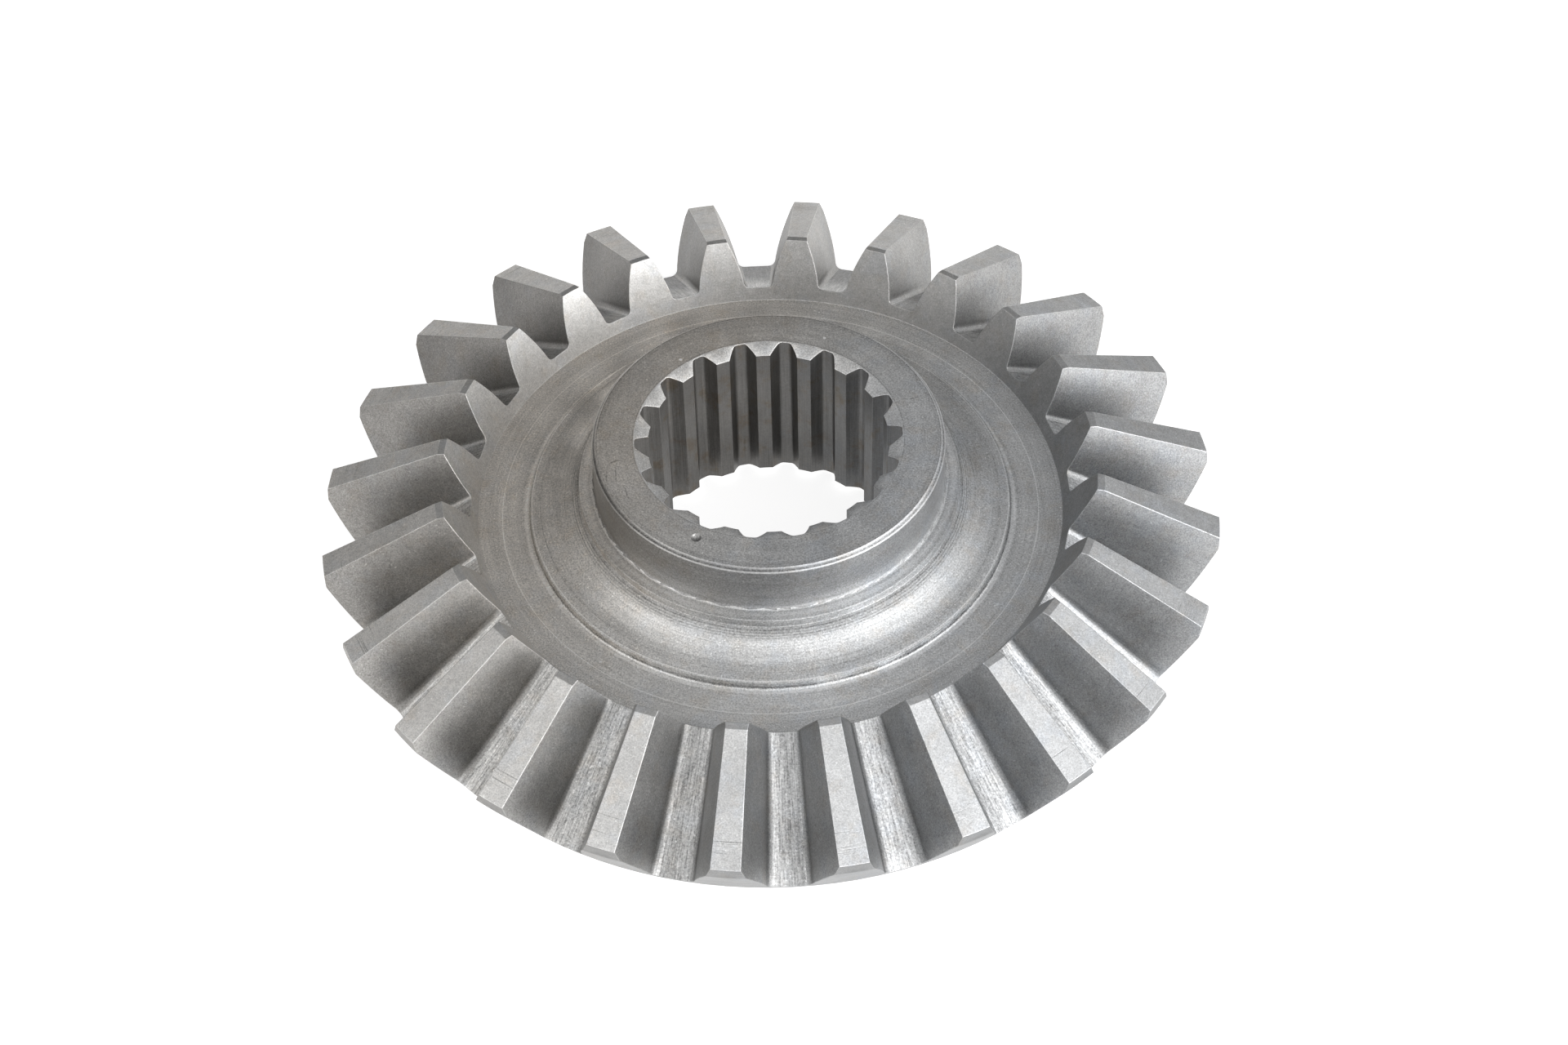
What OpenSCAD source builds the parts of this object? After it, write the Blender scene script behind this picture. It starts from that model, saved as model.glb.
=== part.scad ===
// Straight bevel gear with a splined bore, in millimetres.
// It lies on its back face, with the toothed side and the hub up (+Z).
// The origin is on the axis, in the plane of the back face.
// All the cones of the teeth meet at one apex on the axis above the hub.

/* [Teeth] */
// Diameter of the pitch circle at the outer end of the teeth: 24 of module 7
pitch_d = 168; // [162:0.5:174]
// Number of teeth
teeth = 24; // [20:1:30]
// Number of teeth of the gear that it runs with, which sets the pitch cone
mate_teeth = 13; // [12:1:15]
// Pressure angle of the flanks
pressure_angle = 20; // [18:0.5:22]
// Height of a tooth above the pitch cone, at its outer end
addendum = 4.45; // [3.5:0.05:5]
// Depth of a tooth space below the pitch cone, at its outer end
dedendum = 9.7; // [8.6:0.1:9.9]
// Width of a tooth space on the pitch cone, at its outer end
space_width = 13.25; // [12.6:0.05:13.8]
// Radius in the two corners of a tooth space, at its outer end
root_fillet = 1.5; // [0.6:0.1:1.8]

/* [Rim] */
// Height of the pitch apex above the back face
apex_height = 56.7; // [56.2:0.1:60]
// Amount turned off the sharp crown at the outer end, on the radius
crown_relief = 0.92; // [0.3:0.02:1.4]
// Length of the bevel at the inner end of each tooth tip
toe_bevel = 1.3; // [0.5:0.1:2]
// Depth of that bevel on the inner end face
toe_bevel_drop = 0.35; // [0.2:0.05:1]
// Height of the rim's lower corner above the back face
rim_lift = 1.3; // [0.8:0.1:2]
// Width of the sloping underside, from that corner in to the flat back face
underside_width = 8.6; // [5:0.1:20]

/* [Hub] */
// Diameter of the hub
hub_d = 66; // [62:0.5:69]
// Height of the hub face above the back face, the height of the gear
hub_height = 34; // [30:0.5:40]
// Chamfer round the hub face
hub_chamfer = 0.8; // [0.3:0.1:1.5]
// Radius in the corner at the foot of the hub
hub_foot_fillet = 0.8; // [0.3:0.1:1.2]
// Width of the ledge round the foot of the hub
ledge_width = 3; // [2:0.1:4.5]
// Depth of the upright wall under the ledge
ledge_wall = 1.65; // [1:0.05:2.2]

/* [Dish] */
// Width of the sloping dish, from the ledge's wall to the step at its edge
dish_width = 9.6; // [8.4:0.1:11]
// Slope of the dish at its edge, from level
dish_slope = 17; // [15:0.5:19]
// Slope of the dish where it meets the ledge's wall
dish_top_slope = 47.5; // [42:0.5:52]
// Radius of the curve between those slopes
dish_radius = 9.6; // [8:0.2:11]
// Height of the dish's edge above the back face
step_height = 17.7; // [16.6:0.1:18.2]
// Depth of the step at that edge
step_drop = 1.5; // [1.2:0.1:1.8]
// Radius in the corner at the foot of the step
step_fillet = 0.8; // [0.3:0.1:1]
// Width of the floor that falls from the step
floor_width = 5.4; // [3.5:0.1:7.5]
// Height that this floor loses before it runs level to the teeth
floor_fall = 0.55; // [0.2:0.05:1.2]
// Width of the level web between this floor and the teeth
web_width = 4.6; // [3.5:0.1:7]

/* [Splined bore] */
// Number of spline teeth
spline_teeth = 18; // [16:1:20]
// Module of the spline, whose tooth tips lie on its pitch circle
spline_module = 2.5; // [2.4:0.05:2.6]
// Depth of the spline spaces
spline_depth = 2.5; // [2:0.1:3]
// Pressure angle of the spline
spline_pressure_angle = 30; // [28:0.5:32]
// Width of a spline space on its pitch circle
spline_space = 5.226; // [5:0.02:5.4]
// Radius in the two corners of a spline space
spline_fillet = 0.9; // [0.4:0.05:1.1]
// How far the countersink at each mouth reaches past the spline spaces
mouth_margin = 0.2; // [0.1:0.1:1.5]
// Slope of that countersink, from level
mouth_slope = 25; // [15:1:40]
// Turn of the first spline space from the first tooth
spline_turn = 7.87; // [0:0.01:20]

/* [Punch mark] */
// Diameter of the dent on the hub face
punch_d = 1.9; // [1:0.1:3]
// Depth of the dent
punch_depth = 0.5; // [0.2:0.1:0.8]
// Distance of the dent from the hub's side
punch_inset = 5; // [2.5:0.1:6]
// Direction of the dent, counted from the first tooth
punch_turn = -112.5; // [-180:0.5:180]

/* [Hidden] */
$fn = 96;

steel = "#8d8b87";
cut = 1;
half_turn = 180;
down = 270;
flank_steps = 8;
dish_steps = 8;
corner_steps = 4;
spline_steps = 3;

// Pitch cone and the distances along it from the apex
pitch_r = pitch_d / 2;
pitch_angle = atan(teeth / mate_teeth);
cone_distance = pitch_r / sin(pitch_angle);
addendum_slope = addendum / cone_distance;
crown_r = pitch_r + addendum * cos(pitch_angle) - crown_relief;

// Virtual spur gear that gives the tooth form on the back cone
virtual_r = pitch_r / cos(pitch_angle);
virtual_root_r = virtual_r - dedendum;
virtual_top_r = virtual_r + addendum + 2 * cut;

// Radii of the hub and the dish, and the curve of the dish up from its straight slope
hub_r = hub_d / 2;
ledge_r = hub_r + ledge_width;
step_r = ledge_r + dish_width;
curve_r = ledge_r + dish_radius * (sin(dish_top_slope) - sin(dish_slope));
curve_height = step_height + (step_r - curve_r) * tan(dish_slope);
curve_centre = [curve_r, curve_height] + dish_radius * [sin(dish_slope), cos(dish_slope)];
ledge_height = curve_centre[1] - dish_radius * cos(dish_top_slope) + ledge_wall;

// Floor between the dish and the teeth, and how far from the apex the teeth start on it
floor_height = step_height - step_drop;
web_height = floor_height - floor_fall;
web_r = step_r + floor_width + web_width;
toe_distance = web_r * sin(pitch_angle) + (apex_height - web_height) * cos(pitch_angle);

// Radii of the spline and its countersunk mouths
spline_minor_r = spline_teeth * spline_module / 2;
spline_major_r = spline_minor_r + spline_depth;
mouth_depth = (spline_major_r + mouth_margin) * tan(mouth_slope);

// Point at a radius and an angle from the line of symmetry (+Y)
function polar(r, a) = [r * sin(a), r * cos(a)];

// Points of an arc from one angle to another
function arc(centre, r, from, to, steps) =
    [for (i = [0:steps]) let (a = from + (to - from) * i / steps)
        centre + r * [cos(a), sin(a)]];

// Points that round the corner b of the path a, b, c
function rounded(a, b, c, r) =
    let (
        p = (a - b) / norm(a - b),
        q = (c - b) / norm(c - b),
        half = acos(p * q) / 2,
        centre = b + (p + q) / norm(p + q) * r / sin(half),
        start = b + p * r / tan(half) - centre,
        sweep = (cross(p, q) > 0 ? -1 : 1) * (half_turn - 2 * half),
        from = atan2(start[1], start[0])
    )
    arc(centre, r, from, from + sweep, corner_steps);

// Mirror image of a list of points across the line of symmetry, in reverse
function mirrored(points) =
    [for (i = [len(points) - 1:-1:0]) [-points[i][0], points[i][1]]];

// Involute function of an angle in degrees, also as degrees
function involute(a) = tan(a) * 180 / PI - a;

// Half the angle of a space between involute teeth at radius r: pitch_space is its width
// at pitch_radius, and side is 1 outside a gear and -1 inside a ring
function space_half_angle(r, pitch_radius, pressure, pitch_space, side) =
    let (base_r = pitch_radius * cos(pressure))
    pitch_space / pitch_radius * 90 / PI
    + side * (involute(acos(min(1, base_r / r))) - involute(pressure));

// Point of the axial section: distance from the apex along the pitch cone, height over it
function on_cone(along, over) = [
    along * sin(pitch_angle) + over * cos(pitch_angle),
    apex_height - along * cos(pitch_angle) + over * sin(pitch_angle)
];

// Height over the pitch cone at which a cross cone reaches a height above the back face
function over_at_height(along, height) =
    (height - apex_height + along * cos(pitch_angle)) / sin(pitch_angle);

// Distance along the pitch cone at which the tips of the teeth have a radius
function tip_distance(r) = r / (sin(pitch_angle) + addendum_slope * cos(pitch_angle));

// One side of a tooth space on the back cone, from the middle of its floor up
tooth_flank = [for (i = [0:flank_steps])
    let (r = virtual_root_r + (virtual_top_r - virtual_root_r) * i / flank_steps)
        polar(r, space_half_angle(r, virtual_r, pressure_angle, space_width, 1))
        - [0, virtual_r]];
tooth_space_side = concat(
    rounded([0, tooth_flank[0][1]], tooth_flank[0], tooth_flank[1], root_fillet),
    [for (i = [1:flank_steps]) tooth_flank[i]]
);

// One side of a spline space, from the middle of its bottom in to the bore
spline_flank = [for (i = [0:spline_steps])
    let (r = spline_major_r + (spline_minor_r - spline_major_r) * i / spline_steps)
        polar(r, space_half_angle(r, spline_minor_r, spline_pressure_angle, spline_space, -1))];
spline_space_side = concat(
    rounded([0, spline_flank[0][1]], spline_flank[0], spline_flank[1], spline_fillet),
    [for (i = [1:spline_steps]) spline_flank[i]],
    [[spline_flank[spline_steps][0], 0]]
);

// Half section of the blank, round from the axis on the back face
rim_corner = on_cone(cone_distance, over_at_height(cone_distance, rim_lift));
rim_section = [
    [0, 0],
    [rim_corner[0] - underside_width, 0],
    rim_corner,
    on_cone(cone_distance, (crown_r - pitch_r) / cos(pitch_angle)),
    on_cone(tip_distance(crown_r), tip_distance(crown_r) * addendum_slope),
    on_cone(toe_distance + toe_bevel, (toe_distance + toe_bevel) * addendum_slope),
    on_cone(toe_distance, toe_distance * addendum_slope - toe_bevel_drop),
    [web_r, web_height],
];
floor_end = [step_r + floor_width, web_height];
step_top = [step_r, step_height];
dish_section = concat(
    [floor_end],
    rounded(floor_end, [step_r, floor_height], step_top, step_fillet),
    [step_top],
    arc(curve_centre, dish_radius, down - dish_slope, down - dish_top_slope, dish_steps)
);
hub_foot = [hub_r, ledge_height];
hub_section = concat(
    [[ledge_r, ledge_height]],
    rounded([ledge_r, ledge_height], hub_foot, [hub_r, hub_height], hub_foot_fillet),
    [[hub_r, hub_height - hub_chamfer], [hub_r - hub_chamfer, hub_height], [0, hub_height]]
);

// Turned blank, before the teeth and the bore are cut
module blank() {
    rotate_extrude()
        polygon(concat(rim_section, dish_section, hub_section));
}

// Tooth space along +X: its section shrinks towards the apex as the teeth do
module tooth_space() {
    outer = cone_distance + addendum;
    inner = toe_distance - addendum;
    translate([0, 0, apex_height])
        rotate([pitch_angle, 0, -90])
            translate([0, 0, -outer])
                linear_extrude(height = outer - inner, scale = inner / outer)
                    scale(outer / cone_distance)
                        polygon(concat(tooth_space_side, mirrored(tooth_space_side)));
}

// Splined hole: a plain bore over the tips and a groove for each space
module splined_hole() {
    translate([0, 0, -cut]) {
        cylinder(h = hub_height + 2 * cut, r = spline_minor_r);
        for (i = [0:spline_teeth - 1])
            rotate([0, 0, spline_turn - 90 + i * 360 / spline_teeth])
                linear_extrude(height = hub_height + 2 * cut)
                    polygon(concat(spline_space_side, mirrored(spline_space_side)));
    }
}

// Countersink that opens a mouth of the bore, with its point down
module mouth() {
    translate([0, 0, -mouth_depth])
        cylinder(h = mouth_depth + cut, r1 = 0, r2 = (mouth_depth + cut) / tan(mouth_slope));
}

// Dent left by a punch on the hub face
module punch_mark() {
    ball_r = (pow(punch_d / 2, 2) + pow(punch_depth, 2)) / (2 * punch_depth);
    rotate([0, 0, punch_turn])
        translate([hub_r - punch_inset, 0, hub_height + ball_r - punch_depth])
            sphere(r = ball_r);
}

module bevel_gear() {
    color(steel)
        difference() {
            blank();
            for (i = [0:teeth - 1])
                rotate([0, 0, (i + 0.5) * 360 / teeth])
                    tooth_space();
            splined_hole();
            translate([0, 0, hub_height])
                mouth();
            mirror([0, 0, 1])
                mouth();
            punch_mark();
        }
}

bevel_gear();
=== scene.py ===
# Looks of a straight bevel gear: camera, studio, and one steel finish for each kind of cut.
# The scene is in metres, and the patterns in the steel are in millimetres. The gear's axis is
# Z, and it lies on its back face at z = 0. An azimuth is in degrees and runs from X towards Y.
import math
from collections import defaultdict

import bpy
from mathutils import Matrix, Vector

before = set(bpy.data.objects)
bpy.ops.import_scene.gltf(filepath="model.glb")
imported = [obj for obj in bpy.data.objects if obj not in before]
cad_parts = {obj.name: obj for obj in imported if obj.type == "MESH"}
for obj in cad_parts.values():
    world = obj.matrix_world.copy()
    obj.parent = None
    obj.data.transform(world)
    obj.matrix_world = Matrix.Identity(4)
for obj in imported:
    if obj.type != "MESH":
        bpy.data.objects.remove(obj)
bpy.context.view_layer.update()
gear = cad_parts["bevel_gear"]

MM = 0.001
TEETH = 24
TOOTH_PITCH = 2 * math.pi / TEETH
APEX_Z = 56.7 * MM
HUB_R = 33 * MM
HUB_Z = 34 * MM
BORE_R = 25.3 * MM
WEB_R = 55.4 * MM
WHITE = (1, 1, 1, 1)

# Camera, from the corners of the teeth in the photograph
CAMERA_AT = Vector((0.0421, -0.3744, 0.4332))
CAMERA_RIGHT = Vector((0.99605, 0.08739, -0.01578))
CAMERA_UP = Vector((-0.05485, 0.74515, 0.66466))
LENS = 67.725
SENSOR = 36


def add_camera():
    """Camera at the photograph's viewing angle."""
    data = bpy.data.cameras.new("camera")
    data.lens = LENS
    data.sensor_width = SENSOR
    data.sensor_fit = "HORIZONTAL"
    data.clip_start = 0.01
    data.clip_end = 50
    camera = bpy.data.objects.new("camera", data)
    back = CAMERA_RIGHT.cross(CAMERA_UP).normalized()
    up = back.cross(CAMERA_RIGHT).normalized()
    right = up.cross(back).normalized()
    turn = Matrix((right, up, back)).transposed()
    camera.matrix_world = Matrix.Translation(CAMERA_AT) @ turn.to_4x4()
    bpy.context.scene.collection.objects.link(camera)
    bpy.context.scene.camera = camera


def direction(azimuth, elevation=0):
    """Unit vector towards an azimuth and an elevation in degrees."""
    turn, rise = math.radians(azimuth), math.radians(elevation)
    return (math.cos(turn) * math.cos(rise), math.sin(turn) * math.cos(rise), math.sin(rise))


# Where one kind of cut ends and the next begins
HUB_FACE_Z = HUB_Z - 0.7 * MM
HUB_FACE_R = HUB_R - 0.9 * MM
HUB_SIDE_R = HUB_R + 0.3 * MM
TOE_R = 57.5 * MM
TIP_Z = 13 * MM
TIP_HALF_WIDTH = 0.17  # of the pitch, from the middle of the tooth
LAND_LEAN = 18  # degrees from the axis: the bevel of a tip leans less

# How a face lies, as parts of its normal
LEVEL = 0.999
FACES_DOWN = -0.9
MOUTH_RISE = 0.3
FLANK_AROUND = 0.5
HEEL_OUT = 0.8
TOE_OUT = -0.1
LOW_TOE_OUT = 0.3

SMOOTH_UP_TO = 29  # degrees between two faces that shade as one
POINTS_PER_METRE = 1e6  # points on the same micrometre are one point
TINY = 1e-9


def region(face):
    """Name of the finish for a face of the gear, from where it is and which way it faces."""
    c, n = face.center, face.normal
    r = math.hypot(c.x, c.y)
    out = (n.x * c.x + n.y * c.y) / max(r, TINY)
    around = abs(n.y * c.x - n.x * c.y) / max(r, TINY)
    if r < BORE_R:
        return "mouth" if abs(n.z) > MOUTH_RISE else "spline"
    if c.z > HUB_FACE_Z and r < HUB_FACE_R:
        return "hub_face" if n.z > LEVEL else "dent"
    if n.z < FACES_DOWN:
        return "back"
    if r < WEB_R:
        # The hub's side has its own darker copy of the turned steel: painted shade
        return "hub_side" if r < HUB_SIDE_R else "turned"
    if around > FLANK_AROUND:
        return "flank"
    if n.z < 0 or out > HEEL_OUT:
        return "heel"
    if out < TOE_OUT or (out < LOW_TOE_OUT and r < TOE_R):
        return "toe"
    turn = math.atan2(c.y, c.x) / TOOTH_PITCH
    if abs(turn - round(turn)) < TIP_HALF_WIDTH and c.z > TIP_Z:
        lean = math.degrees(math.atan2(out, n.z))
        return "land" if lean > LAND_LEAN else "toe_bevel"
    return "space"


def dress(finishes):
    """Gives each face the material of its region, and smooth shading that keeps the real edges."""
    mesh = gear.data
    mesh.materials.clear()
    for finish in finishes.values():
        mesh.materials.append(finish)
    order = list(finishes)
    kinds = [region(face) for face in mesh.polygons]
    points = [tuple(round(x * POINTS_PER_METRE) for x in v.co) for v in mesh.vertices]
    meeting = defaultdict(list)
    for face in mesh.polygons:
        face.material_index = order.index(kinds[face.index])
        face.use_smooth = True
        for v in face.vertices:
            meeting[points[v]].append(face)
    least_agreement = math.cos(math.radians(SMOOTH_UP_TO))
    normals = [None] * len(mesh.loops)
    for face in mesh.polygons:
        for loop, v in zip(face.loop_indices, face.vertices):
            total = Vector((0, 0, 0))
            for other in meeting[points[v]]:
                pair = kinds[face.index], kinds[other.index]
                if "toe_bevel" in pair and pair[0] != pair[1]:
                    continue
                if face.normal.dot(other.normal) > least_agreement:
                    total += other.normal * other.area
            normals[loop] = total.normalized()
    mesh.normals_split_custom_set(normals)


# Noise patterns in the steel: scale, detail and roughness of the noise, the two noise values
# between which the pattern changes, and whether it changes smoothly
PATTERNS = {
    # Breaks in the lighter edges, which are partly wear and partly painted highlight
    "edge_wear_and_highlight": (0.8, 3, 0.7, 0.35, 0.6, True),
    "tarnish": (0.22, 4, 0.65, 0.5, 0.7, True),
    "cool": (0.16, 3, 0.6, 0.5, 0.65, True),
    "cloud": (0.12, 3, 0.6, 0.35, 0.65, True),
    "gloss": (1.6, 4, 0.7, 0.3, 0.7, False),
    "blotch": (0.9, 3, 0.7, 0.35, 0.65, False),
    "fine_rings": (1, 4, 0.75, 0.3, 0.7, False),
    "broad_rings": (1, 3, 0.5, 0.3, 0.7, True),
    "broken_rings": (1, 2, 0.5, 0.35, 0.55, True),
    "cross_marks": (1, 3, 0.7, 0.56, 0.66, True),
    "streaks": (1, 3, 0.7, 0.3, 0.7, False),
    "broach_marks": (1, 3, 0.6, 0.3, 0.7, False),
}

# Detail and roughness of the noises that come in several scales
GRAIN_NOISE = (2, 0.75)
POINTS_NOISE = (1, 0.5)
RELIEF_NOISE = (3, 0.7)

# Tones that the patterns give, from their low to their high noise values
# Lighter edges: partly wear, partly painted highlight
EDGE_WEAR_AND_HIGHLIGHT_TONE = (0.55, 1)
COOL_TONE = (0, 0.25)
CLOUD_TONE = (0.95, 1.05)
BLOTCH_TONE = (-0.07, 0.07)
BROAD_RINGS_TONE = (-0.06, 0.06)
BROKEN_RINGS_TONE = (0.8, 1)
BROACH_TONE = (0.86, 1.12)
CROSS_MARKS_RELIEF = 2  # depth of the marks across the teeth, next to how dark they are

# A Mix node has sockets A and B and a result for each kind of value: these are the colours'
MIX_A, MIX_B, MIX_RESULT = 6, 7, 2


class Nodes:
    """Short way to build the nodes of a material or of the world."""

    def __init__(self, owner):
        owner.use_nodes = True
        self.owner = owner
        self.tree = owner.node_tree

    def node(self, kind, **settings):
        made = self.tree.nodes.new(kind)
        for name, value in settings.items():
            setattr(made, name, value)
        return made

    def put(self, socket, value):
        """Links a socket to another node's, or sets its own value."""
        if isinstance(value, bpy.types.NodeSocket):
            self.tree.links.new(value, socket)
        elif value is not None:
            socket.default_value = value

    def math(self, operation, result, *others):
        """Result for one number, or for two or more that are taken one after another."""
        for other in others or (None,):
            made = self.node("ShaderNodeMath", operation=operation)
            self.put(made.inputs[0], result)
            self.put(made.inputs[1], other)
            result = made.outputs[0]
        return result

    def add(self, *values):
        return self.math("ADD", *values)

    def minus(self, a, b):
        return self.math("SUBTRACT", a, b)

    def times(self, *values):
        return self.math("MULTIPLY", *values)

    def distance(self, a, b):
        return self.math("SQRT", self.add(self.times(a, a), self.times(b, b)))

    def span(self, value, low, high, to_low=0.0, to_high=1.0, smooth=True):
        """Number that goes from to_low to to_high as the value goes from low to high."""
        kind = "SMOOTHSTEP" if smooth else "LINEAR"
        made = self.node("ShaderNodeMapRange", interpolation_type=kind)
        names = ("Value", "From Min", "From Max", "To Min", "To Max")
        for name, number in zip(names, (value, low, high, to_low, to_high)):
            self.put(made.inputs[name], number)
        return made.outputs["Result"]

    def vector(self, x, y, z):
        made = self.node("ShaderNodeCombineXYZ")
        for socket, value in zip(made.inputs, (x, y, z)):
            self.put(socket, value)
        return made.outputs[0]

    def stretched(self, values, rates, shift=0):
        """Place for a noise, from two or three numbers and how fast it changes along each."""
        parts = [self.times(value, rate) for value, rate in zip(values, rates)]
        return self.vector(*parts, *[shift] * (3 - len(parts)))

    def dot(self, a, b):
        made = self.node("ShaderNodeVectorMath", operation="DOT_PRODUCT")
        self.put(made.inputs[0], a)
        self.put(made.inputs[1], b)
        return made.outputs["Value"]

    def noise(self, vector, scale, detail, roughness):
        made = self.node("ShaderNodeTexNoise")
        names = ("Vector", "Scale", "Detail", "Roughness")
        for name, value in zip(names, (vector, scale, detail, roughness)):
            self.put(made.inputs[name], value)
        return made.outputs["Fac"]

    def mix(self, factor, a, b, blend="MIX"):
        made = self.node("ShaderNodeMix", data_type="RGBA", blend_type=blend)
        self.put(made.inputs["Factor"], factor)
        self.put(made.inputs[MIX_A], a)
        self.put(made.inputs[MIX_B], b)
        return made.outputs[MIX_RESULT]

    def scaled(self, colour, factor):
        return self.mix(1, colour, self.vector(factor, factor, factor), "MULTIPLY")


class Material(Nodes):
    """Nodes of a new material, which has only its output yet."""

    def __init__(self, name):
        super().__init__(bpy.data.materials.new(name))
        self.tree.nodes.clear()
        self.out = self.node("ShaderNodeOutputMaterial")


class Steel(Material):
    """Steel that knows where on the gear a spot is: x, y, z, the radius and the distance from
    the pitch apex in millimetres, and the angles round the axis and from it at the apex."""

    def __init__(self, name):
        super().__init__(name)
        split = self.node("ShaderNodeSeparateXYZ")
        self.put(split.inputs[0], self.node("ShaderNodeTexCoord").outputs["Object"])
        self.x, self.y, self.z = [self.times(output, 1 / MM) for output in split.outputs]
        self.here = self.vector(self.x, self.y, self.z)
        self.r = self.distance(self.x, self.y)
        self.angle = self.math("ARCTAN2", self.y, self.x)
        drop = self.minus(APEX_Z / MM, self.z)
        self.cone = self.math("ARCTAN2", self.r, drop)
        self.far = self.distance(self.r, drop)

    def plain(self, name, vector=None):
        """Noise of a pattern as it is, at the spot itself unless a vector is given."""
        scale, detail, roughness = PATTERNS[name][:3]
        return self.noise(self.here if vector is None else vector, scale, detail, roughness)

    def pattern(self, name, to_low, to_high, noise=None):
        """Number that goes from to_low to to_high as the noise of a pattern rises."""
        low, high, smooth = PATTERNS[name][3:]
        noise = self.plain(name) if noise is None else noise
        return self.span(noise, low, high, to_low, to_high, smooth)

    def bump(self, height, distance, normal):
        made = self.node("ShaderNodeBump")
        names = ("Strength", "Distance", "Height", "Normal")
        for name, value in zip(names, (1, distance, height, normal)):
            self.put(made.inputs[name], value)
        return made.outputs["Normal"]

    def shaded(self, colour, roughness, normal):
        """The material itself, as bare metal."""
        shader = self.node("ShaderNodeBsdfPrincipled")
        shader.inputs["Metallic"].default_value = 1
        self.put(shader.inputs["Base Color"], colour)
        self.put(shader.inputs["Roughness"], roughness)
        self.put(shader.inputs["Normal"], normal)
        self.put(self.out.inputs["Surface"], shader.outputs[0])
        return self.owner


STEEL = (0.47, 0.465, 0.455, 1)
TARNISH = (0.41, 0.355, 0.29, 1)
COOL = (0.44, 0.465, 0.50, 1)
WARM_SIDE = 158  # azimuth of the gear's browner side: the other side is bluer
COOL_SIDE = 0.35
ROUGHNESS_RANGE = 0.05

# Edges: radius to which they are rounded, and how well the rounded and the plain normal agree
# where the lighter edges, partly wear and partly painted highlight, begin and are full
EDGE_RADIUS = 0.25 * MM
EDGE_SAMPLES = 4
EDGE_AGREEMENT = (0.99, 0.85)

# Rings of tone on the front: radius and half width in mm, and how much lighter, or darker
# where it is negative. Some are lines that the lathe left; the light and dark rings at the
# hub's chamfer, its foot, the ledge's edge and the step are painted highlights and painted
# shade along those edges.
RINGS = [
    (25.35, 0.14, -0.25),
    (30.8, 0.10, -0.06),
    (31.4, 0.12, -0.10),
    (31.6, 1.00, -0.10),
    # Hub's chamfer: painted highlights and painted shade along its edges
    (32.05, 0.20, -0.25),
    (32.25, 0.16, 0.40),
    (32.62, 0.30, -0.40),
    (32.84, 0.13, 0.45),
    # Painted highlight along the hub's foot
    (33.60, 0.22, 0.30),
    (34.70, 1.25, 0.34),
    # Painted highlight along the ledge's edge
    (35.80, 0.16, 0.40),
    (36.2, 0.80, -0.22),
    (36.45, 0.14, -0.36),
    (36.85, 0.14, -0.36),
    (37.25, 0.14, -0.42),
    (37.65, 0.14, -0.30),
    (38.9, 0.12, -0.20),
    (43.6, 0.12, -0.22),
    # Step: painted highlight along its edge, painted shadow line at its foot
    (45.25, 0.18, 0.50),
    (45.70, 0.26, -0.62),
    (46.5, 0.60, 0.42),
    (49.8, 4.20, 0.12),
    (51.0, 0.16, 0.50),
]

# Specks and scratches on the hub's face: x, y, half length and half width in mm, the azimuth
# along them, and how much lighter or darker
MARKS = [
    (-18.5, 18.9, 0.45, 0.42, 0, 2.2),
    (8.4, 26.7, 0.40, 0.42, 0, 1.8),
    (-27.8, -8.3, 1.8, 0.22, 35, -0.55),
    (-27.2, -11.2, 2.4, 0.22, 100, -0.45),
    (-28.8, -12.2, 2.0, 0.22, 95, -0.40),
    (-24.6, -16.0, 2.6, 0.22, 112, -0.45),
    (26.5, 12.0, 1.8, 0.22, 20, -0.40),
]

# Shading makes the dish slightly fuller than its curve, and flatter next to the ledge: the radii
# in mm between which the height changes, and by how much in mm
SWELLS = [(38.2, 42.4, 0.5), (42.6, 45.2, -0.14)]
LEDGE_FOOT = (36.0, 38.2, 0.72)

# How fast the marks of a tool change, per mm or per radian, across and then along them
FINE_RINGS = (5.5, 3.0)
BROAD_RINGS = (0.9, 0.8)
BROAD_RINGS_SHIFT = 3  # keeps the broad rings from following the fine ones
RING_BREAKS = 12.0
RING_DROP = 0.7  # how much the height adds to the radius, so that steep faces have rings too
CROSS_MARKS = (3.2, 4.0)
STREAKS = (260, 270, 0.22)
BROACH_MARKS = (110, 4.0, 0.1)

# Depth in mm of the marks that each way of cutting leaves
TURNED_DEPTH = 0.02
GROUND_DEPTH = 0.025
MILLED_DEPTH = 0.03
BROACHED_DEPTH = 0.03

# Grain in the steel: how fine its light and its relief are, and the relief as a share of the
# depth of the marks
TURNED_GRAIN = (3.2, 3.2, 0.8)
GROUND_GRAIN = (3.4, 3.4, 1)
MILLED_GRAIN = (2.4, 3.0, 1.2)
BROACHED_GRAIN = (2.5, 3.0, 0.6)

# Light of the grain: the noise values over which it changes and over which its lighter points
# appear, and how large and how light those points are next to the rest
GRAIN_SPAN = (0.32, 0.68)
POINTS_SPAN = (0.66, 0.76)
POINTS_SCALE = 0.7
POINTS_LIGHT = 1.5

# Where the gear's side at an azimuth, and the faces that look towards one, begin and are full:
# as a part of the radius and of the normal that points that way
SIDE_SPAN = (-0.2, 0.9)
FACING_SPAN = (0.25, 0.8)

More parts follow.
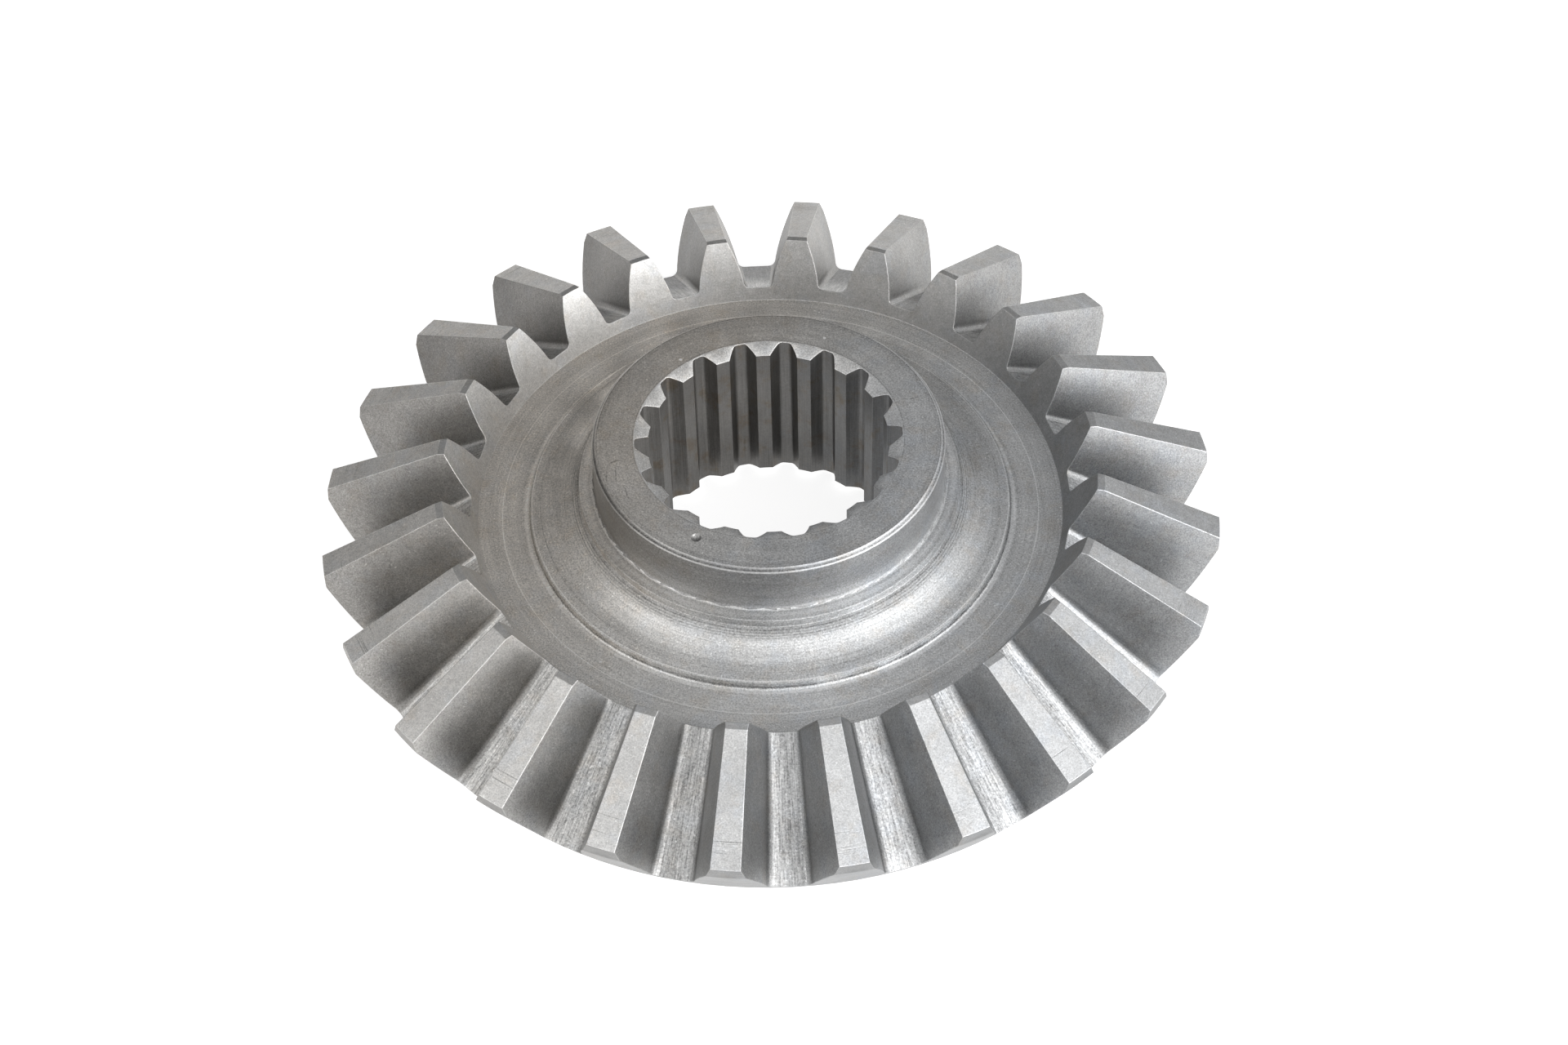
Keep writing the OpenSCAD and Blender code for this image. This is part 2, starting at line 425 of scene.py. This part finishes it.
# Spans over which the tone changes: where they start and end, in mm or radians, and the tone at
# both. They run along x, y or z, the distance from the apex or the angle at it.
CROSS_MARKS_FAR_START = (88, 89, 0, 1)
CROSS_MARKS_FAR_END = (92, 93, 1, 0)
FLANK_FAR = (80, 93, 1, 0.88)
PAINTED_LIGHT_AZIMUTH = 330  # flanks that face this way get painted light on the gear's left, painted shade on its right
PAINTED_LIGHT_X = (-70, 70, 0.5, -0.2)
PAINTED_LIGHT_FAR = (80, 91, 1, 0)
PAINTED_LIGHT_CONE = (1.07, 1.12, 1, 0)
PAINTED_SHADE_AZIMUTH = 216  # flanks that face this way get painted shade at the gear's far side
PAINTED_SHADE_Y = (0, 45, 0, -0.42)
# Painted shade on the gap floors at the gear's far side, towards their outer end
PAINTED_FLOOR_SHADE_Y = (5, 55, 0, 0.66)
PAINTED_FLOOR_SHADE_FAR = (70, 84, 0, 1)
# Painted shade deep in the bore
PAINTED_BORE_SHADE_Z = (3, 26, 0.66, 1)


def line(m, value, at, half_width):
    """1 on a line where the value is at a number, 0 beyond the line's half width."""
    return m.span(m.math("ABSOLUTE", m.minus(value, at)), 0, half_width, 1, 0)


def reach(m, x, y, azimuth):
    """How far the point x, y lies towards an azimuth."""
    towards = direction(azimuth)
    return m.add(m.times(x, towards[0]), m.times(y, towards[1]))


def mark(m, x, y, half_length, half_width, azimuth):
    """1 on a short straight mark on a flat face, 0 beyond it."""
    dx, dy = m.minus(m.x, x), m.minus(m.y, y)
    along = line(m, reach(m, dx, dy, azimuth), 0, half_length)
    return m.times(along, line(m, reach(m, dx, dy, azimuth + 90), 0, half_width))


def sided(m, azimuth, away, towards):
    """Number that changes round the gear, from one value to another on the side at an azimuth."""
    share = m.math("DIVIDE", reach(m, m.x, m.y, azimuth), m.r)
    return m.span(share, *SIDE_SPAN, away, towards)


def facing(m, azimuth):
    """How squarely a surface faces an azimuth, from 0 to 1."""
    normal = m.node("ShaderNodeTexCoord").outputs["Normal"]
    return m.span(m.dot(normal, direction(azimuth)), *FACING_SPAN)


def edges(m):
    """Normal that rounds the edges off, and how near to an edge a spot is, from 0 to 1."""
    bevel = m.node("ShaderNodeBevel", samples=EDGE_SAMPLES)
    m.put(bevel.inputs["Radius"], EDGE_RADIUS)
    rounded = bevel.outputs[0]
    unrounded = m.node("ShaderNodeNewGeometry").outputs["Normal"]
    return rounded, m.span(m.dot(rounded, unrounded), *EDGE_AGREEMENT)


def speckle(m, scale, grain):
    """Grain of the metal: a fine even grain, and a sparser one of lighter points."""
    fine = m.noise(m.here, scale, *GRAIN_NOISE)
    fine = m.span(fine, *GRAIN_SPAN, -grain, grain, smooth=False)
    points = m.noise(m.here, scale * POINTS_SCALE, *POINTS_NOISE)
    return m.add(fine, m.span(points, *POINTS_SPAN, 0, grain * POINTS_LIGHT))


def pits(m, scale, share):
    """Relief of the metal's grain."""
    return m.times(m.noise(m.here, scale, *RELIEF_NOISE), share)


def finished(m, tone, level, roughness, height, depth, edge_light, warm, tarnish=0.22):
    """Steel of one finish: tone and height come from the cut, and edges are lighter, partly from
    wear and partly as a painted highlight. Warm is how brown the steel is on its warm side, and
    tarnish how brown its spots are."""
    rounded, near_edge = edges(m)
    # Lighter edges: partly wear, partly a painted highlight along every edge
    rubbed_and_highlit_edges = m.times(near_edge, m.pattern("edge_wear_and_highlight", *EDGE_WEAR_AND_HIGHLIGHT_TONE), edge_light)
    tone = m.times(m.add(tone, rubbed_and_highlit_edges), m.pattern("cloud", *CLOUD_TONE))
    brown = m.add(m.pattern("tarnish", 0, tarnish), sided(m, WARM_SIDE, 0, warm))
    blue = m.add(m.pattern("cool", *COOL_TONE), sided(m, WARM_SIDE + 180, 0, COOL_SIDE))
    colour = m.mix(brown, m.mix(blue, STEEL, COOL), TARNISH)
    gloss = m.pattern("gloss", roughness - ROUGHNESS_RANGE, roughness + ROUGHNESS_RANGE)
    normal = m.bump(height, depth * MM, rounded)
    return m.shaded(m.scaled(colour, m.times(tone, level)), gloss, normal)


def turned(name, level, contrast, roughness, grain=0.12, edge_light=0.3,
           side=(238, 1.0, 1.12), rings=(), marks=(), swells=(), warm=0.4):
    """Steel from the lathe: fine rings round the axis, and a few deeper ones. The side is an
    azimuth, and how light the steel is away from it and towards it: painted light and shade."""
    m = Steel(name)
    light_scale, relief_scale, share = TURNED_GRAIN
    across = m.add(m.r, m.times(m.z, RING_DROP))
    fine = m.plain("fine_rings", m.stretched((across, m.angle), FINE_RINGS))
    place = m.stretched((across, m.angle), BROAD_RINGS, BROAD_RINGS_SHIFT)
    broad = m.pattern("broad_rings", *BROAD_RINGS_TONE, m.plain("broad_rings", place))
    tone = m.add(m.pattern("fine_rings", 1 - contrast, 1 + contrast, fine), broad)
    # Painted light and shade: one side of the gear lighter or darker
    tone = m.times(m.add(tone, speckle(m, light_scale, grain)), sided(m, *side))
    # Listed rings: lathe lines, and painted highlights and shade along edges
    for radius, half_width, lighter in rings:
        place = m.vector(m.times(m.angle, RING_BREAKS), radius, 0)
        breaks = m.plain("broken_rings", place)
        broken = m.pattern("broken_rings", *BROKEN_RINGS_TONE, breaks)
        ring = line(m, m.r, radius, half_width)
        tone = m.add(tone, m.times(ring, broken, lighter))
    for *shape, lighter in marks:
        tone = m.add(tone, m.times(mark(m, *shape), lighter))
    height = m.add(fine, pits(m, relief_scale, share))
    for start, end, fall in swells:
        height = m.add(height, m.span(m.r, start, end, fall / TURNED_DEPTH, 0))
    if swells:
        start, end, rise = LEDGE_FOOT
        foot = m.math("POWER", m.span(m.r, start, end, 1, 0, smooth=False), 2)
        height = m.minus(height, m.times(foot, rise / TURNED_DEPTH))
    return finished(m, tone, level, roughness, height, TURNED_DEPTH, edge_light, warm)


def flank_tone(m):
    """Tone of a flank: painted light on some, painted shade on others, duller at the outer end."""
    # Painted light on flanks that face the right soft boxes, painted shade on those facing the
    # left one
    painted_light = m.times(facing(m, PAINTED_LIGHT_AZIMUTH), m.span(m.x, *PAINTED_LIGHT_X))
    middle = m.times(m.span(m.far, *PAINTED_LIGHT_FAR), m.span(m.cone, *PAINTED_LIGHT_CONE))
    painted_shade = m.times(facing(m, PAINTED_SHADE_AZIMUTH), m.span(m.y, *PAINTED_SHADE_Y))
    return m.add(m.span(m.far, *FLANK_FAR), m.add(m.times(painted_light, middle), painted_shade))


def ground(name, level, roughness, grain, edge_light, cross_marks=0, side=None, warm=0,
           painted_flank_light=False):
    """Steel with an even fine grain, and a few marks across the tooth near its outer end. The
    side is as for turned steel. With painted flank light, the tone is that of a flank, with
    painted light and shade by the way it faces."""
    m = Steel(name)
    light_scale, relief_scale, share = GROUND_GRAIN
    scratches = m.plain("cross_marks", m.stretched((m.far, m.angle), CROSS_MARKS))
    near_end = m.times(m.span(m.far, *CROSS_MARKS_FAR_START), m.span(m.far, *CROSS_MARKS_FAR_END))
    cut = m.times(m.pattern("cross_marks", 0, -cross_marks, scratches), near_end)
    tone = m.add(speckle(m, light_scale, grain), 1, cut, m.pattern("blotch", *BLOTCH_TONE))
    # Painted light and shade: one side of the gear lighter or darker
    if side:
        tone = m.times(tone, sided(m, *side))
    # Painted light and shade on the flanks, by the way they face
    if painted_flank_light:
        tone = m.times(tone, flank_tone(m))
    height = m.add(pits(m, relief_scale, share), m.times(cut, CROSS_MARKS_RELIEF))
    return finished(m, tone, level, roughness, height, GROUND_DEPTH, edge_light, warm)


def milled(name, level, contrast, roughness, grain, edge_light, hollow, warm):
    """Steel cut along the tooth: streaks that run towards the pitch apex, in a slightly hollow
    floor, which has painted shade at the gear's far side."""
    m = Steel(name)
    light_scale, relief_scale, share = MILLED_GRAIN
    streaks = m.plain("streaks", m.stretched((m.angle, m.cone, m.far), STREAKS))
    tone = m.pattern("streaks", 1 - contrast, 1 + contrast, streaks)
    tone = m.add(tone, speckle(m, light_scale, grain))
    # Painted shade: floors darker at the gear's far side, towards their outer end
    tone = m.times(tone, m.minus(1, m.times(m.span(m.y, *PAINTED_FLOOR_SHADE_Y), m.span(m.far, *PAINTED_FLOOR_SHADE_FAR))))
    turn = m.math("FRACT", m.add(m.math("DIVIDE", m.angle, TOOTH_PITCH), TEETH))
    aside = m.times(m.minus(turn, 0.5), m.r, TOOTH_PITCH)
    bowl = m.times(aside, aside, hollow)
    height = m.add(streaks, pits(m, relief_scale, share), bowl)
    return finished(m, tone, level, roughness, height, MILLED_DEPTH, edge_light, warm)


def broached(name, level, roughness, grain, edge_light, warm, tarnish):
    """Steel of the splined bore: marks along the axis, painted shade towards the back, deep in the
    bore, and browner.
    """
    m = Steel(name)
    light_scale, relief_scale, share = BROACHED_GRAIN
    marks = m.plain("broach_marks", m.stretched((m.angle, m.r, m.z), BROACH_MARKS))
    tone = m.pattern("broach_marks", *BROACH_TONE, marks)
    tone = m.add(tone, speckle(m, light_scale, grain))
    # Painted shade: darker deeper in the bore
    tone = m.times(tone, m.span(m.z, *PAINTED_BORE_SHADE_Z))
    height = m.add(marks, pits(m, relief_scale, share))
    depth = BROACHED_DEPTH
    return finished(m, tone, level, roughness, height, depth, edge_light, warm, tarnish)


# How the surface of each region was cut, and its looks. The level is how light it is, the
# contrast is that of the tool's marks, and the edge light is how much lighter the edges are:
# partly wear and partly painted highlight.
# The side of a finish is painted light and shade that makes one side of the gear lighter or darker
FINISHES = {
    "hub_face": (turned, dict(
        level=1.42, contrast=0.04, roughness=0.45, grain=0.28, edge_light=0.15,
        side=(111, 1.03, 0.85), rings=RINGS, marks=MARKS)),
    "dent": (ground, dict(level=0.7, roughness=0.5, grain=0.3, edge_light=0.6)),
    # Hub's side: a darker copy of the turned steel as painted shade, darker still to the front
    # left
    "hub_side": (turned, dict(
        level=0.88, contrast=0.10, roughness=0.45, grain=0.30, edge_light=0.25,
        side=(246, 1, 0.7), rings=RINGS)),
    "turned": (turned, dict(
        level=1.32, contrast=0.14, roughness=0.42, grain=0.30, edge_light=0.2,
        rings=RINGS, swells=SWELLS)),
    "mouth": (ground, dict(level=1.55, roughness=0.5, grain=0.25, edge_light=0.1)),
    "spline": (broached, dict(
        level=0.47, roughness=0.48, grain=0.08, edge_light=0.3, warm=0.2, tarnish=0.8)),
    "land": (ground, dict(
        level=1.30, roughness=0.45, grain=0.20, edge_light=0.6,
        cross_marks=0.4, side=(206, 1, 1.22), warm=0.15)),
    "toe_bevel": (ground, dict(level=1.15, roughness=0.45, grain=0.16, edge_light=0.25)),
    "toe": (ground, dict(
        level=1.08, roughness=0.45, grain=0.18, edge_light=0.25, side=(186, 0.88, 1.3))),
    # Flanks: painted light and shade by the way they face
    "flank": (ground, dict(
        level=0.84, roughness=0.45, grain=0.28, edge_light=0.6, warm=0.2, painted_flank_light=True)),
    "space": (milled, dict(
        level=0.92, contrast=0.42, roughness=0.4, grain=0.34, edge_light=0.3,
        hollow=1.2, warm=0.05)),
    "heel": (turned, dict(level=0.63, contrast=0.06, roughness=0.45)),
    "back": (turned, dict(level=0.9, contrast=0.06, roughness=0.45, grain=0.2)),
}

# Light round the gear, as three soft boxes under a dim sky that is lighter overhead. Each box
# has an azimuth and an elevation in degrees, a strength, and how sharply it ends.
SOFT_BOXES = [
    (325, 5, 3.2, 3.6),
    (326, 24, 3.0, 9.6),
    (216, 33, 2.4, 15),
]
SKY_AT_HORIZON = 0.05
SKY_RISE = 0.33

FLOOR_SIZE = 6
FLOOR_DROP = 0.2 * MM  # keeps the floor from sharing a plane with the gear's back
FLOOR_COLOUR = (0.5, 0.5, 0.5, 1)
FLOOR_GLOW = 0.8  # for rays that see or mirror the floor, which keeps its shadow otherwise


def light():
    """World with the soft boxes: two on the front right, low and higher, and one front left."""
    world = bpy.data.worlds.new("studio")
    bpy.context.scene.world = world
    w = Nodes(world)
    background = w.tree.nodes["Background"]
    background.inputs["Color"].default_value = WHITE
    towards = w.node("ShaderNodeTexCoord").outputs["Generated"]
    split = w.node("ShaderNodeSeparateXYZ")
    w.put(split.inputs[0], towards)
    total = w.add(w.times(split.outputs["Z"], SKY_RISE), SKY_AT_HORIZON)
    for azimuth, elevation, strength, sharpness in SOFT_BOXES:
        agreement = w.dot(towards, direction(azimuth, elevation))
        fall = w.times(w.minus(agreement, 1), sharpness)
        total = w.add(total, w.times(w.math("POWER", math.e, fall), strength))
    w.put(background.inputs["Strength"], w.math("MAXIMUM", total, 0))


def add_floor():
    """White floor that keeps the gear's shadow."""
    bpy.ops.mesh.primitive_plane_add(size=FLOOR_SIZE, location=(0, 0, -FLOOR_DROP))
    floor = bpy.context.object
    floor.name = "floor"
    m = Material("floor")
    path = m.node("ShaderNodeLightPath")
    rays = ("Is Camera Ray", "Is Glossy Ray", "Is Transmission Ray")
    seen = m.math("MAXIMUM", *[path.outputs[ray] for ray in rays])
    paper = m.node("ShaderNodeBsdfDiffuse")
    paper.inputs["Color"].default_value = FLOOR_COLOUR
    glow = m.node("ShaderNodeEmission")
    glow.inputs["Color"].default_value = WHITE
    m.put(glow.inputs["Strength"], m.times(seen, FLOOR_GLOW))
    both = m.node("ShaderNodeAddShader")
    m.put(both.inputs[0], paper.outputs[0])
    m.put(both.inputs[1], glow.outputs[0])
    m.put(m.out.inputs["Surface"], both.outputs[0])
    floor.data.materials.append(m.owner)


add_camera()
light()
add_floor()
dress({name: cut(name, **looks) for name, (cut, looks) in FINISHES.items()})
bpy.context.scene.view_settings.view_transform = "Standard"
